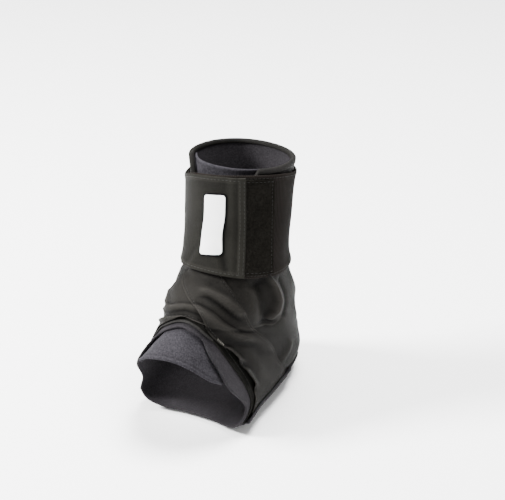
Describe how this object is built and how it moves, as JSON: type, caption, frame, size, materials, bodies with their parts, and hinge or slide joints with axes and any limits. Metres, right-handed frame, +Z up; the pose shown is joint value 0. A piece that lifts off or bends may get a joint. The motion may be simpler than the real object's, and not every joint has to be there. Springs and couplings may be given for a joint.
{
  "type": "ankle brace",
  "caption": "Soft ankle brace for a left foot: felt-lined nylon boot, padded tongue, crossed instep straps and a hook-and-loop cuff.",
  "frame": {"origin": "on the floor, on the flat of the sole, straight below the ankle's centre", "axes": "+Z up along the shank, toes towards -Y, +X to the wearer's left, the outer side of the foot"},
  "size_m": [0.102, 0.1798, 0.2076],
  "materials": {
    "tongue": "heathered purple-grey knit",
    "liner": "purple-grey felt",
    "shell": "black woven nylon",
    "rim_binding": "folded binding tape",
    "strap_under": "black woven nylon",
    "strap_over": "black woven nylon",
    "sole": "dense grey knit",
    "cuff": "black ribbed elastic",
    "loop_patch": "black brushed loop",
    "closure_tab": "black woven nylon with stitched border",
    "label": "blank white soft plastic"
  },
  "bodies": {
    "root": {"tongue": "tongue", "liner": "liner", "shell": "shell", "rim_binding": "rim_binding", "strap_under": "strap_under", "strap_over": "strap_over", "sole": "sole", "cuff": "cuff", "loop_patch": "loop_patch", "closure_tab": "closure_tab", "label": "label"}
  },
  "joints": []
}
